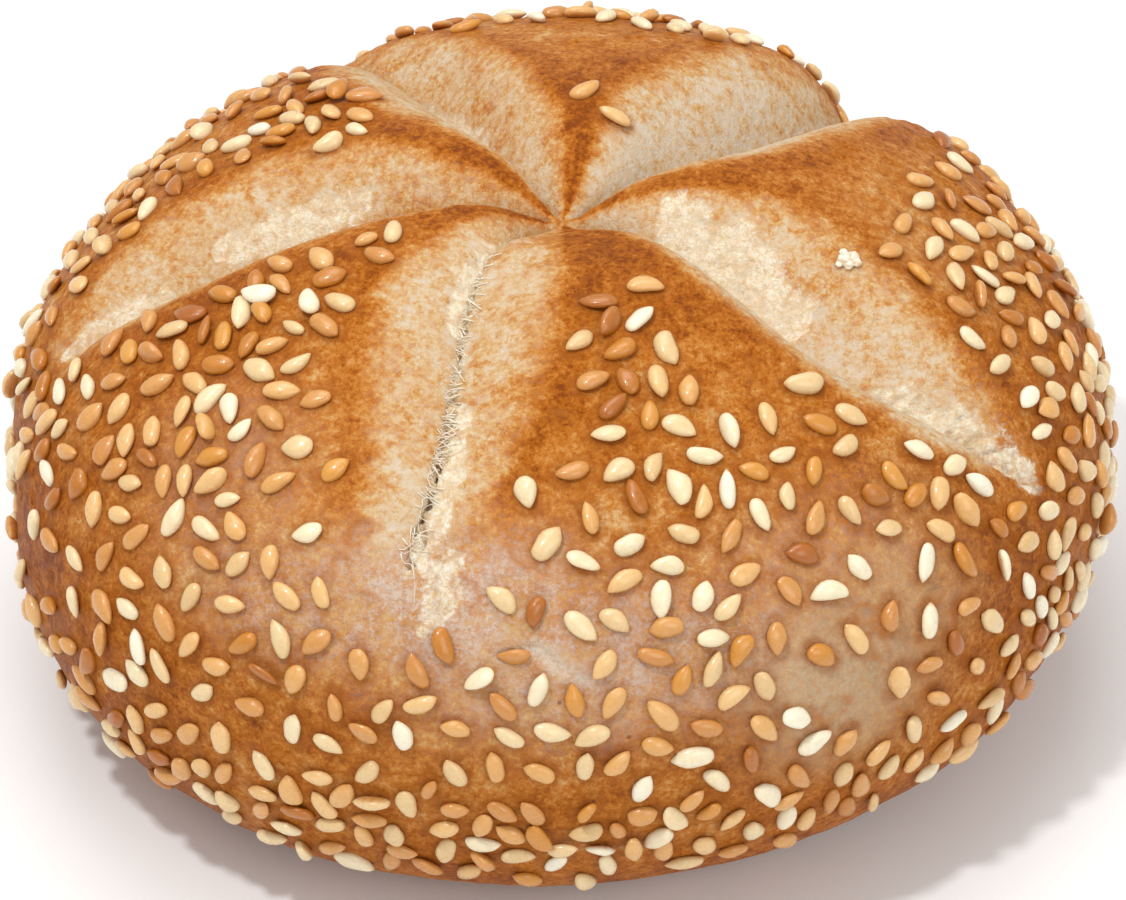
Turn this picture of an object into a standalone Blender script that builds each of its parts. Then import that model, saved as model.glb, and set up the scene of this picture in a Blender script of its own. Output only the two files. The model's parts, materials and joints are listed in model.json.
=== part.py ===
"""Kaiser roll with sesame seeds: a round bread roll pressed with five curved cuts before it was baked.

The roll stands on its flat foot with its middle on the Z axis, and its front is -Y.
Lengths are metres and angles are degrees. A place on the crust is given by its bearing, counter-
clockwise from +X as seen from above, and its fall: 0 at the crown, 90 at the waist, 180 at the foot.
"""
import math
import random
from collections import namedtuple

import bmesh
import bpy
from mathutils import Matrix, Vector

# The plain loaf, before the cuts
ROLL_RADIUS = 0.0509
CROWN_HEIGHT = 0.0522
WAIST_HEIGHT = 0.0213
FOOT_RADIUS = 0.0306
TOP_FULLNESS = 2.24
UNDERSIDE_FULLNESS = 2.21

# The outline from above is a circle with three slow waves: waves round the roll, share of the radius, bearing
Wave = namedtuple("Wave", "count share bearing")
OUTLINE_WAVES = (Wave(1, 0.015, 143), Wave(2, 0.022, 20), Wave(3, 0.0126, -24))

# The five cuts. Each runs from the crown to its end along three bearings, and has a wall on either side
Cut = namedtuple("Cut", "name at_crown midway at_end end depth wall_right wall_left fullness rim_notch")
CUTS = (
    Cut("back_right", 40, 44, 46, 0.054, 0.0090, 0.0110, 0.0120, 0.85, 0.0064),
    Cut("back_left", 118, 118, 120, 0.046, 0.0075, 0.0080, 0.0110, 1.0, 0.0005),
    Cut("left", 176, 184, 190, 0.047, 0.0085, 0.0130, 0.0075, 1.15, 0.0010),
    Cut("front_left", 227, 246, 251, 0.043, 0.0045, 0.0100, 0.0110, 1.0, 0.0),
    Cut("right", 337, 325, 332, 0.048, 0.0085, 0.0070, 0.0130, 1.0, 0.0005),
)
CUT_SHARPNESS = 2.4
CUT_START = 0.15
FULL_DEPTH_FROM = 0.014
DEPTH_FADES_FROM = 0.5
CURVE_CARRIES_ON = 1.15
NARROWEST_WALL = 0.3
LEAF_ROUNDNESS = 0.7
SHARE_OF_HALF_LOBE = 0.98
LOBE_BLEND = 0.0015
RIM_NOTCH_WIDTH = 0.007
NOTCHES_END = 150
CROWN_DIMPLE = 0.006
CROWN_DIMPLE_RADIUS = 0.018
SLOPE_STEP = 0.05

# The crust's mesh
COLUMNS_PER_LOBE = 14
FIRST_FALL = 3
TOP_RINGS = 26
UNDERSIDE_RINGS = 11
FOOT_RINGS = (0.66, 0.33)

# Sesame seeds: drops with a round end and a narrow end
SEED_LENGTH = 0.0032
SEED_WIDTH = 0.0019
SEED_THICKNESS = 0.0009
SEED_SIDES = 8
SEED_STATIONS = (0.08, 0.30, 0.58, 0.85)
SEED_SIZE_SPREAD = 0.08
SEED_CLEARANCE = 0.00036
SEED_SPACING = 0.0037
SEED_FREE_OF_CUTS = 0.7
TRIES_PER_PATCH = 300
SEED_ROUNDNESS = 0.75
SEED_BLUNT_END = 1.12
SEED_TAPER = 0.45

# Where the largest seeds lie: bearing, fall, the spread of each, and how many
Patch = namedtuple("Patch", "name bearing fall bearing_spread fall_spread seeds")
SEED_PATCHES = (
    Patch("front_lobe_tip", 284, 22, 12, 5, 6),
    Patch("front_lobe_top", 285, 38, 9, 8, 6),
    Patch("front_lobe_face", 280, 64, 22, 10, 7),
    Patch("front_underside", 262, 97, 38, 14, 7),
    Patch("left_lobe_ridge", 205, 15, 2, 2, 1),
    Patch("left_lobe_top", 212, 38, 11, 10, 8),
    Patch("left_lobe_side", 215, 85, 18, 12, 4),
    Patch("back_left_lobe", 148, 30, 14, 6, 4),
    Patch("back_lobe_pair", 76, 13, 12, 2, 2),
    Patch("back_lobe_rim", 78, 46, 14, 8, 3),
    Patch("back_side", 90, 88, 40, 8, 2),
    Patch("right_lobe_top", 352, 48, 12, 12, 6),
    Patch("right_lobe_side", 328, 88, 22, 9, 3),
)

# Colours, linear, with roughness
CRUST = ((0.36, 0.13, 0.028, 1.0), 0.55)
SEED_COLOURS = (
    ("sesame_cream", (0.78, 0.60, 0.36, 1.0), 0.45),
    ("sesame_golden", (0.62, 0.34, 0.13, 1.0), 0.45),
    ("sesame_toasted", (0.42, 0.17, 0.055, 1.0), 0.5),
)
SHARE_OF_SEED_COLOURS = (5, 3, 2)


def clear_scene():
    for old in list(bpy.data.objects):
        bpy.data.objects.remove(old, do_unlink=True)


def clamp(value, low=0.0, high=1.0):
    return max(low, min(high, value))


def turn_between(bearing, other):
    """The signed turn from other to bearing, between -180 and 180."""
    return (bearing - other + 180) % 360 - 180


def soft_minimum(a, b, blend):
    share = clamp(0.5 + 0.5 * (b - a) / blend)
    return b * (1 - share) + a * share - blend * share * (1 - share)


def material(name, colour, roughness):
    made = bpy.data.materials.new(name)
    made.use_nodes = True
    shader = made.node_tree.nodes["Principled BSDF"]
    shader.inputs["Base Color"].default_value = colour
    shader.inputs["Roughness"].default_value = roughness
    shader.inputs["Metallic"].default_value = 0.0
    return made


def outline_radius(bearing, fall):
    """The widest radius at a bearing, with the notches that the cuts leave in the rim. They fade below it."""
    waves = sum(w.share * math.cos(math.radians(w.count * (bearing - w.bearing))) for w in OUTLINE_WAVES)
    radius = ROLL_RADIUS * (1 + waves)
    notched = clamp((NOTCHES_END - fall) / (NOTCHES_END - 90))
    for cut in CUTS:
        off = math.radians(turn_between(bearing, cut.at_end)) * ROLL_RADIUS
        radius -= notched * cut.rim_notch * math.exp(-((off / RIM_NOTCH_WIDTH) ** 2))
    return radius


def reach_at(fall):
    """How far from the axis a fall lies on the plain round loaf's top."""
    return ROLL_RADIUS * math.sin(math.radians(fall)) ** (2 / TOP_FULLNESS)


def loaf_profile(bearing, fall):
    """Radius and height on the loaf before it is cut: a superellipse above the waist and one below it."""
    outer = outline_radius(bearing, fall)
    sine = max(0.0, math.sin(math.radians(fall)))
    cosine = math.cos(math.radians(fall))
    if fall <= 90:
        radius = outer * sine ** (2 / TOP_FULLNESS)
        height = WAIST_HEIGHT + (CROWN_HEIGHT - WAIST_HEIGHT) * max(0.0, cosine) ** (2 / TOP_FULLNESS)
        return radius, height
    foot = FOOT_RADIUS * outer / ROLL_RADIUS
    radius = foot + (outer - foot) * sine ** (2 / UNDERSIDE_FULLNESS)
    height = WAIST_HEIGHT * (1 - abs(cosine) ** (2 / UNDERSIDE_FULLNESS))
    return radius, height


def cut_bearing(cut, reach):
    """The bearing of a cut's floor, on the curve through its three bearings."""
    along = (min(reach / cut.end, CURVE_CARRIES_ON) - CUT_START) / (1 - CUT_START)
    start = cut.at_crown * (2 * along - 1) * (along - 1)
    middle = cut.midway * 4 * along * (1 - along)
    end = cut.at_end * along * (2 * along - 1)
    return start + middle + end


def cut_wall(cut, side, reach, half_lobe):
    """The width of one wall of a cut: leaf-shaped, and no wider than its share of the lobe."""
    along = clamp(reach / cut.end)
    widest = cut.wall_left if side > 0 else cut.wall_right
    leaf = math.sin(math.pi * along**cut.fullness) ** LEAF_ROUNDNESS if 0 < along < 1 else 0.0
    width = widest * (NARROWEST_WALL + (1 - NARROWEST_WALL) * leaf)
    return max(1e-6, soft_minimum(width, half_lobe, LOBE_BLEND))


def cut_place(bearing, reach):
    """The nearest cut and how far up its wall a place is: 0 on the floor, 1 on the lobe's edge."""
    offsets = sorted((abs(turn_between(bearing, cut_bearing(cut, reach))), i) for i, cut in enumerate(CUTS))
    cut = CUTS[offsets[0][1]]
    half_lobe = math.radians((offsets[0][0] + offsets[1][0]) / 2) * reach * SHARE_OF_HALF_LOBE
    side = turn_between(bearing, cut_bearing(cut, reach))
    wall = cut_wall(cut, side, reach, half_lobe)
    return cut, clamp(math.radians(offsets[0][0]) * reach / wall)


def sink_depth(bearing, fall):
    """How far the cuts and the dimple at the crown bring the crust in from the plain loaf."""
    if fall > 90:
        return 0.0
    reach = reach_at(fall)
    cut, up_wall = cut_place(bearing, reach)
    dimple = CROWN_DIMPLE * max(0.0, 1 - reach / CROWN_DIMPLE_RADIUS) ** 2
    if reach >= cut.end:
        return dimple
    fade = clamp((reach / cut.end - DEPTH_FADES_FROM) / (1 - DEPTH_FADES_FROM))
    floor = cut.depth * (1 - fade**2)
    floor = CROWN_DIMPLE + (floor - CROWN_DIMPLE) * clamp(reach / FULL_DEPTH_FROM)
    return dimple + max(0.0, floor - dimple) * (1 - up_wall) ** CUT_SHARPNESS


def crust_point(bearing, fall):
    radius, height = loaf_profile(bearing, fall)
    ahead = loaf_profile(bearing, min(180, fall + SLOPE_STEP))
    behind = loaf_profile(bearing, max(0, fall - SLOPE_STEP))
    slope = Vector((ahead[0] - behind[0], ahead[1] - behind[1])).normalized()
    depth = sink_depth(bearing, fall)
    radius += slope.y * depth
    height -= slope.x * depth
    turn = math.radians(bearing)
    return Vector((radius * math.cos(turn), radius * math.sin(turn), height))


def crust_normal(bearing, fall):
    across = crust_point(bearing + 1, fall) - crust_point(bearing - 1, fall)
    down = crust_point(bearing, fall + 1) - crust_point(bearing, fall - 1)
    return down.cross(across).normalized()


def column_bearings(fall):
    """Bearings round the roll at one fall. They follow the cuts, so every cut has a column on its floor."""
    reach = reach_at(min(fall, 90))
    floors = [cut_bearing(cut, reach) for cut in CUTS]
    bearings = []
    for start, end in zip(floors, floors[1:] + floors[:1]):
        lobe = (end - start) % 360
        for i in range(COLUMNS_PER_LOBE):
            even = i / COLUMNS_PER_LOBE
            eased = 0.5 - 0.5 * math.cos(math.pi * even)
            bearings.append(start + lobe * (even + eased) / 2)
    return bearings


def new_object(name, bm, surface):
    mesh = bpy.data.meshes.new(name)
    bm.to_mesh(mesh)
    bm.free()
    mesh.materials.append(surface)
    mesh.shade_smooth()
    made = bpy.data.objects.new(name, mesh)
    bpy.context.scene.collection.objects.link(made)
    return made


def bridge_rings(bm, upper, lower):
    count = len(upper)
    for i in range(count):
        j = (i + 1) % count
        bm.faces.new((upper[i], lower[i], lower[j], upper[j]))


def close_with_fan(bm, ring, centre, facing_up):
    tip = bm.verts.new(centre)
    for i, vert in enumerate(ring):
        after = ring[(i + 1) % len(ring)]
        corners = (tip, vert, after) if facing_up else (tip, after, vert)
        bm.faces.new(corners)


def build_roll():
    """The baked roll as one solid: rings from the crown down to the foot, and a flat underside."""
    bm = bmesh.new()
    rings = []
    top_falls = [FIRST_FALL + (90 - FIRST_FALL) * i / (TOP_RINGS - 1) for i in range(TOP_RINGS)]
    underside_falls = [90 + 90 * (i + 1) / UNDERSIDE_RINGS for i in range(UNDERSIDE_RINGS)]
    for fall in top_falls + underside_falls:
        rings.append([bm.verts.new(crust_point(bearing, fall)) for bearing in column_bearings(fall)])
    for share in FOOT_RINGS:
        rings.append([bm.verts.new((v.co.x * share, v.co.y * share, 0.0)) for v in rings[-1]])
    for upper, lower in zip(rings, rings[1:]):
        bridge_rings(bm, upper, lower)
    close_with_fan(bm, rings[0], (0, 0, CROWN_HEIGHT - CROWN_DIMPLE), True)
    close_with_fan(bm, rings[-1], (0, 0, 0), False)
    return new_object("roll", bm, material("bread_crust", *CRUST))


def seed_half_width(along):
    """Half the width of a seed, as a share of its greatest: full at the round end, narrow at the other."""
    return math.sin(math.pi * along) ** SEED_ROUNDNESS * (SEED_BLUNT_END - SEED_TAPER * along)


def seed_solid(scale):
    """A seed lying on z = 0 with its length along X, round end first."""
    bm = bmesh.new()
    rings = []
    for along in SEED_STATIONS:
        half = seed_half_width(along)
        x = (along - 0.5) * SEED_LENGTH * scale
        ring = []
        for i in range(SEED_SIDES):
            turn = 2 * math.pi * (i + 0.5) / SEED_SIDES
            y = half * SEED_WIDTH / 2 * scale * math.cos(turn)
            z = SEED_THICKNESS / 2 * scale * (1 + half * math.sin(turn))
            ring.append(bm.verts.new((x, y, z)))
        rings.append(ring)
    for first, second in zip(rings, rings[1:]):
        bridge_rings(bm, second, first)
    middle = SEED_THICKNESS / 2 * scale
    close_with_fan(bm, rings[0], (-SEED_LENGTH / 2 * scale, 0, middle), False)
    close_with_fan(bm, rings[-1], (SEED_LENGTH / 2 * scale, 0, middle), True)
    return bm


def seed_frame(bearing, fall, heading):
    """Stands a seed's own Z on the crust's normal, its X at a heading, just clear of the crust."""
    up = crust_normal(bearing, fall)
    turn = math.radians(bearing)
    across = Vector((-math.sin(turn), math.cos(turn), 0)).cross(up).normalized()
    along = Matrix.Rotation(math.radians(heading), 3, up) @ across
    frame = Matrix((along, up.cross(along), up)).transposed().to_4x4()
    frame.translation = crust_point(bearing, fall) + up * SEED_CLEARANCE
    return frame


def seed_places(chance):
    """Bearing and fall of every seed: scattered over the patches, apart from each other and off the cuts."""
    places = []
    points = []
    for patch in SEED_PATCHES:
        wanted = len(places) + patch.seeds
        for _ in range(TRIES_PER_PATCH):
            bearing = patch.bearing + chance.uniform(-1, 1) * patch.bearing_spread
            fall = patch.fall + chance.uniform(-1, 1) * patch.fall_spread
            point = crust_point(bearing, fall)
            crowded = any((point - other).length < SEED_SPACING for other in points)
            in_cut = fall < 90 and cut_place(bearing, reach_at(fall))[1] < SEED_FREE_OF_CUTS
            if len(places) < wanted and not crowded and not in_cut:
                places.append((bearing, fall))
                points.append(point)
    return places


def build_seeds():
    chance = random.Random(7)
    surfaces = [material(*colour) for colour in SEED_COLOURS]
    for number, (bearing, fall) in enumerate(seed_places(chance), start=1):
        scale = 1 + chance.uniform(-1, 1) * SEED_SIZE_SPREAD
        surface = chance.choices(surfaces, SHARE_OF_SEED_COLOURS)[0]
        seed = new_object("sesame_seed_%02d" % number, seed_solid(scale), surface)
        seed.matrix_world = seed_frame(bearing, fall, chance.uniform(0, 360))


def centre_on_axis():
    """Moves everything sideways until the middle of the whole box is on the Z axis."""
    bpy.context.view_layer.update()
    solids = list(bpy.context.scene.objects)
    corners = [solid.matrix_world @ vert.co for solid in solids for vert in solid.data.vertices]
    middle_x = (min(c.x for c in corners) + max(c.x for c in corners)) / 2
    middle_y = (min(c.y for c in corners) + max(c.y for c in corners)) / 2
    for solid in solids:
        solid.location.x -= middle_x
        solid.location.y -= middle_y


clear_scene()
build_roll()
build_seeds()
centre_on_axis()
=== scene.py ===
"""The looks of the kaiser roll: fine crust, torn crumb in the cuts, and about nine hundred sesame seeds.

The crust is worked out from the same loaf and cuts as the part, and is laid on the part's own box.
Lengths are millimetres in the shaping functions and metres on the finished meshes. A place on the
crust is given by its bearing, counter-clockwise from +X seen from above, and its fall: 0 at the
crown, 90 at the waist, 180 at the foot.
"""

import json
from collections import namedtuple

import bmesh
import bpy
import numpy as np
from mathutils import Matrix, Vector, noise
from mathutils.kdtree import KDTree


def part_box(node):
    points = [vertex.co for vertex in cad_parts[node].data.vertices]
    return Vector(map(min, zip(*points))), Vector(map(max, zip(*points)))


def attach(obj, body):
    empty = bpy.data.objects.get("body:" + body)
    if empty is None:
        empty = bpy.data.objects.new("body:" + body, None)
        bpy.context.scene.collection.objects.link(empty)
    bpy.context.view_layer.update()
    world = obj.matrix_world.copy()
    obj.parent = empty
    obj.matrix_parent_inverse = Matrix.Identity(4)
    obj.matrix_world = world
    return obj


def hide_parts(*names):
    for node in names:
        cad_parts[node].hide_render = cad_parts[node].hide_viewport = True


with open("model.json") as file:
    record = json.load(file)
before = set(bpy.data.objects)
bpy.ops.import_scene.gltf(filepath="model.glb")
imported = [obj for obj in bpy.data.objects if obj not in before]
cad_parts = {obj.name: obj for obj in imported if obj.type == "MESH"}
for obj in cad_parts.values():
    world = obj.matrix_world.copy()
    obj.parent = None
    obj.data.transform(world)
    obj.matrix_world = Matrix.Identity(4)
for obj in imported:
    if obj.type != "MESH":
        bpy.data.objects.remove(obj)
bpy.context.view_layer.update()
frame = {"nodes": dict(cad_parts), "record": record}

MM = 0.001
SEED = 11

# The loaf and its cuts, as the part has them
ROLL_RADIUS = 50.9
CROWN_HEIGHT = 52.2
WAIST_HEIGHT = 21.3
FOOT_RADIUS = 30.6
TOP_FULLNESS = 2.24
UNDERSIDE_FULLNESS = 2.21
Wave = namedtuple("Wave", "count share bearing")
OUTLINE_WAVES = (Wave(1, 0.015, 143), Wave(2, 0.022, 20), Wave(3, 0.0126, -24))
Cut = namedtuple("Cut", "name at_crown midway at_end end depth wall_right wall_left fullness rim_notch")
CUTS = (
    Cut("back_right", 40, 44, 46, 54.0, 9.0, 11.0, 12.0, 0.85, 6.4),
    Cut("back_left", 118, 118, 120, 46.0, 7.5, 8.0, 11.0, 1.0, 0.5),
    Cut("left", 176, 184, 190, 47.0, 8.5, 13.0, 7.5, 1.15, 1.0),
    Cut("front_left", 227, 246, 251, 43.0, 4.5, 10.0, 11.0, 1.0, 0.0),
    Cut("right", 337, 325, 332, 48.0, 8.5, 7.0, 13.0, 1.0, 0.5),
)
CUT_ENDS = np.array([cut.end for cut in CUTS])
CUT_SHARPNESS = 2.4
CUT_START = 0.15
FULL_DEPTH_FROM = 14.0
DEPTH_FADES_FROM = 0.5
CURVE_CARRIES_ON = 1.15
NARROWEST_WALL = 0.3
LEAF_ROUNDNESS = 0.7
SHARE_OF_HALF_LOBE = 0.98
LOBE_BLEND = 1.5
RIM_NOTCH_WIDTH = 7.0
NOTCHES_END = 150
CROWN_DIMPLE = 6.0
CROWN_DIMPLE_RADIUS = 18.0
SLOPE_STEP = 0.05

# The fine crust mesh
COLUMNS_PER_LOBE = 118
EVEN_WEIGHT = 1.2
EASED_WEIGHT = 0.8
FIRST_FALL = 1.2
TOP_RINGS = 196
UNDERSIDE_RINGS = 42
FOOT_RINGS = 3

# How far the skin stands out or sinks (mm): slow waves, bumps, fine grain and blisters on the lobes, then
# ragged crumb, its flakes and its pores where a cut has torn
BROAD_LIFT = 0.45
BUMP_LIFT = 0.13
GRAIN_LIFT = 0.05
BLISTER_HEIGHT = 0.12
RAGGED_LIFT = 0.40
FLAKE_LIFT = 0.45
PORE_DEPTH = 1.25
TEAR_DEPTH = 0.55
FOOT_STAYS_FLAT_TO = 8.0

# Torn crumb: where along a cut it is bared, its half width, how far to the side (mm, left is positive)
# and how rough it is
TEAR_END_ROUNDNESS = 0.35
TEAR_RAGGEDNESS = 0.7
TEAR_EDGE = (0.45, 1.25)
Tear = namedtuple("Tear", "cut start stop width side rough")
TEARS = (
    Tear("front_left", 7, 11.5, 1.2, 0.2, 0.30),
    Tear("front_left", 10, 21, 2.0, -1.0, 0.24),
    Tear("front_left", 12, 43.5, 1.15, 0.5, 0.72),
    Tear("front_left", 28, 43, 1.6, 1.9, 0.24),
    Tear("front_left", 41, 46.5, 1.9, 3.8, 0.30),
    Tear("right", 9, 27, 2.9, 2.6, 0.26),
    Tear("right", 24, 40, 0.9, 0.4, 0.24),
    Tear("right", 35, 48.5, 2.2, 1.0, 0.42),
    Tear("left", 18, 33, 2.0, -3.2, 0.2),
    Tear("left", 37, 46, 1.8, -1.2, 0.24),
    Tear("back_left", 14, 30, 1.2, 0.0, 0.25),
    Tear("back_right", 16, 40, 1.2, 0.0, 0.25),
)

# Strands of crumb across the tears (mm)
STRANDS_PER_MM = 4
STRANDS_FROM_ROUGHNESS = 0.5
STRAND_POINTS = 7
STRAND_SIDES = 5

# Sesame seeds (mm), and the dents that dropped seeds have left
SEED_LENGTH = 3.1
SEED_WIDTH = 1.76
SEED_THICKNESS = 1.15
SEED_SIDES = 12
SEED_STATIONS = 9
SEED_PRESSED_IN = 0.34
SEED_CANDIDATES = 9000
SEED_CORE = 0.8
SEED_HEADINGS_TRIED = 8
SEED_GAP = 1.55
STACKED_SHARE = 0.12
STACKED_HEIGHT = 0.55
STACKED_PITCH = 0.22
WIDEST_SPACING = 3.3
CLOSER_WHERE_DENSE = 1.5
SEEDS_START = (15, 19)
SEEDS_END = (112, 132)
PART_SEED_SCALE = 1.05
SEED_SCALE_SPREAD = 0.06
SEED_SHAPE_SPREAD = (0.06, 0.08, 0.10)
SEED_BEND = 0.06
SEED_LEAN = 0.24
SEED_PITCH = 0.07
TIPPED_SHARE = 0.10
TIPPED_LEAN = 0.7
SCARS = 70
SCAR_CANDIDATES = 1500
SCAR_CLEARANCE = 2.3
SCAR_DEPTH = 0.16
SCAR_RIM_HEIGHT = 0.07

# Crumb that rounds the floor of each cut, in the order of CUTS: how much and how wide, in mm
FLOOR_FILL = np.array([0.5, 0.5, 0.8, 1.3, 1.1])
FLOOR_FILL_WIDTH = np.array([1.8, 1.8, 2.2, 3.4, 2.4])

# Short splits in the skin at the front: bearing and fall of both ends, depth and half width in mm
Split = namedtuple("Split", "bearing fall to_bearing to_fall depth width")
SPLITS = (
    Split(263.5, 66.5, 267, 65.0, 0.45, 0.45),
    Split(267, 65.0, 270, 68.5, 0.60, 0.50),
    Split(270, 68.5, 272.5, 70.5, 0.35, 0.40),
    Split(270, 49, 268.5, 60, 0.16, 0.30),
    Split(262, 60, 264.5, 64, 0.18, 0.35),
    Split(243, 66, 246, 68, 0.15, 0.35),
)
SPLIT_LIP = 0.35
# A crumb of dried flour stuck to the wall of the right cut: bearing, fall and size in mm of each lump
FLOUR_LUMPS = (
    (344, 28.6, 0.66), (344.9, 29.2, 0.55), (343.1, 29.2, 0.52),
    (345.4, 28.1, 0.36), (342.5, 28.2, 0.34), (344.0, 29.9, 0.46),
)
LUMP_BUMPINESS = 0.35
LUMP_FLATNESS = (1, 1, 0.75)

# How thickly seeds lie: bearing and fall of a patch, its spreads, and its share of the densest
Patch = namedtuple("Patch", "bearing fall bearing_spread fall_spread share")
SEED_PATCHES = (
    Patch(284, 27, 7, 12, 0.95),
    Patch(286, 45, 13, 10, 0.62),
    Patch(304, 46, 8, 8, 0.40),
    Patch(318, 57, 9, 6, 0.60),
    Patch(284, 64, 14, 8, 0.62),
    Patch(264, 78, 34, 12, 0.46),
    Patch(262, 102, 50, 13, 0.70),
    Patch(206, 34, 12, 14, 1.0),
    Patch(217, 50, 13, 12, 0.80),
    Patch(228, 70, 12, 12, 0.55),
    Patch(198, 62, 12, 12, 0.70),
    Patch(148, 31, 15, 7, 0.95),
    Patch(168, 50, 9, 9, 0.70),
    Patch(76, 45, 12, 6, 0.80),
    Patch(352, 50, 15, 12, 0.60),
    Patch(350, 68, 16, 12, 0.75),
    Patch(330, 90, 22, 14, 0.65),
    Patch(10, 70, 16, 16, 0.6),
    Patch(95, 75, 40, 22, 0.55),
    Patch(150, 80, 25, 22, 0.55),
    Patch(60, 90, 30, 22, 0.5),
    Patch(200, 100, 30, 12, 0.45),
)
# Places with few seeds: the floury front, the pale patch, the left flank, the back lobe by the crown
BARE_PATCHES = (
    Patch(257, 58, 8, 7, 0.85),
    Patch(303, 82, 6, 8, 0.9),
    Patch(203, 88, 8, 10, 0.85),
    Patch(76, 24, 20, 9, 1.0),
    Patch(320, 82, 7, 8, 0.6),
)
# Where flour dulls the crust, and where the crust is pale and dry
FLOUR_PATCHES = (
    Patch(257, 60, 13, 9, 1.0),
    Patch(240, 63, 12, 8, 0.55),
    Patch(274, 68, 18, 10, 0.8),
    Patch(300, 60, 14, 8, 0.3),
    Patch(225, 50, 10, 10, 0.3),
)
DULL_PATCHES = (
    Patch(300, 79, 9, 11, 1.0),
    Patch(309, 72, 8, 8, 0.6),
)
# How pale the walls of each cut are, in the order of CUTS; the left cut's walls are set less pale as painted
# shade
WALL_PALENESS_AND_SHADE = np.array([1.2, 0.86, 0.76, 0.78, 0.97])
# Lobes and sides that are darker, or lighter where the share is below 0
TONE_PATCHES = (
    Patch(350, 34, 16, 15, -0.40),
    Patch(212, 42, 15, 18, 0.28),
    Patch(203, 85, 22, 16, 0.30),
    Patch(283, 84, 16, 10, 0.22),
)
# How brown the edges of each cut are: on the right and on the left of its floor
EDGE_TOAST = {
    "back_right": (0.60, 0.25),
    "back_left": (0.35, 0.85),
    "left": (0.55, 1.0),
    "front_left": (0.35, 0.45),
    "right": (0.25, 0.45),
}

# One seed: its place and axes, its size, its colour's slot, its tint, and how far it lies over another
Seed = namedtuple("Seed", "place along up scale slot tint stacked")


def soft_step(low, high, value):
    share = np.clip((value - low) / (high - low), 0, 1)
    return share * share * (3 - 2 * share)


def turn_between(bearing, other):
    return (bearing - other + 180) % 360 - 180


def soft_minimum(a, b, blend):
    share = np.clip(0.5 + 0.5 * (b - a) / blend, 0, 1)
    return b * (1 - share) + a * share - blend * share * (1 - share)


def outline_radius(bearing, fall):
    waves = sum(w.share * np.cos(np.radians(w.count * (bearing - w.bearing))) for w in OUTLINE_WAVES)
    radius = ROLL_RADIUS * (1 + waves)
    notched = np.clip((NOTCHES_END - fall) / (NOTCHES_END - 90), 0, 1)
    for cut in CUTS:
        off = np.radians(turn_between(bearing, cut.at_end)) * ROLL_RADIUS
        radius = radius - notched * cut.rim_notch * np.exp(-((off / RIM_NOTCH_WIDTH) ** 2))
    return radius


def reach_at(fall):
    return ROLL_RADIUS * np.sin(np.radians(np.minimum(fall, 90))) ** (2 / TOP_FULLNESS)


def loaf_profile(bearing, fall):
    """Radius and height on the loaf before it is cut."""
    outer = outline_radius(bearing, fall)
    sine = np.maximum(0, np.sin(np.radians(fall)))
    cosine = np.abs(np.cos(np.radians(fall)))
    top = fall <= 90
    foot = FOOT_RADIUS * outer / ROLL_RADIUS
    top_radius = outer * sine ** (2 / TOP_FULLNESS)
    top_height = WAIST_HEIGHT + (CROWN_HEIGHT - WAIST_HEIGHT) * cosine ** (2 / TOP_FULLNESS)
    low_radius = foot + (outer - foot) * sine ** (2 / UNDERSIDE_FULLNESS)
    low_height = WAIST_HEIGHT * (1 - cosine ** (2 / UNDERSIDE_FULLNESS))
    return np.where(top, top_radius, low_radius), np.where(top, top_height, low_height)


def cut_bearing(cut, reach):
    along = (np.minimum(reach / cut.end, CURVE_CARRIES_ON) - CUT_START) / (1 - CUT_START)
    start = cut.at_crown * (2 * along - 1) * (along - 1)
    middle = cut.midway * 4 * along * (1 - along)
    end = cut.at_end * along * (2 * along - 1)
    return start + middle + end


def cut_place(bearing, reach):
    """The nearest cut's number, the side offset from its floor and its wall's width in mm."""
    turns = np.stack([turn_between(bearing, cut_bearing(cut, reach)) for cut in CUTS])
    order = np.sort(np.abs(turns), axis=0)
    nearest = np.abs(turns).argmin(0)
    side = np.take_along_axis(turns, nearest[None], 0)[0]
    half_lobe = np.radians((order[0] + order[1]) / 2) * reach * SHARE_OF_HALF_LOBE
    ends = CUT_ENDS[nearest]
    right = np.array([cut.wall_right for cut in CUTS])[nearest]
    left = np.array([cut.wall_left for cut in CUTS])[nearest]
    fullness = np.array([cut.fullness for cut in CUTS])[nearest]
    along = np.clip(reach / ends, 0, 1)
    leaf = np.maximum(0, np.sin(np.pi * along**fullness)) ** LEAF_ROUNDNESS
    width = np.where(side > 0, left, right) * (NARROWEST_WALL + (1 - NARROWEST_WALL) * leaf)
    wall = np.maximum(1e-3, soft_minimum(width, half_lobe, LOBE_BLEND))
    offset = np.radians(side) * reach
    return nearest, offset, wall


def sink_depth(bearing, fall):
    reach = reach_at(fall)
    nearest, offset, wall = cut_place(bearing, reach)
    up_wall = np.clip(np.abs(offset) / wall, 0, 1)
    ends = CUT_ENDS[nearest]
    depths = np.array([cut.depth for cut in CUTS])[nearest]
    dimple = CROWN_DIMPLE * np.maximum(0, 1 - reach / CROWN_DIMPLE_RADIUS) ** 2
    fade = np.clip((reach / ends - DEPTH_FADES_FROM) / (1 - DEPTH_FADES_FROM), 0, 1)
    floor = depths * (1 - fade**2)
    floor = CROWN_DIMPLE + (floor - CROWN_DIMPLE) * np.clip(reach / FULL_DEPTH_FROM, 0, 1)
    depth = dimple + np.maximum(0, floor - dimple) * (1 - up_wall) ** CUT_SHARPNESS
    depth = np.where(reach >= ends, dimple, depth)
    return np.where(fall > 90, 0, depth)


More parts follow.
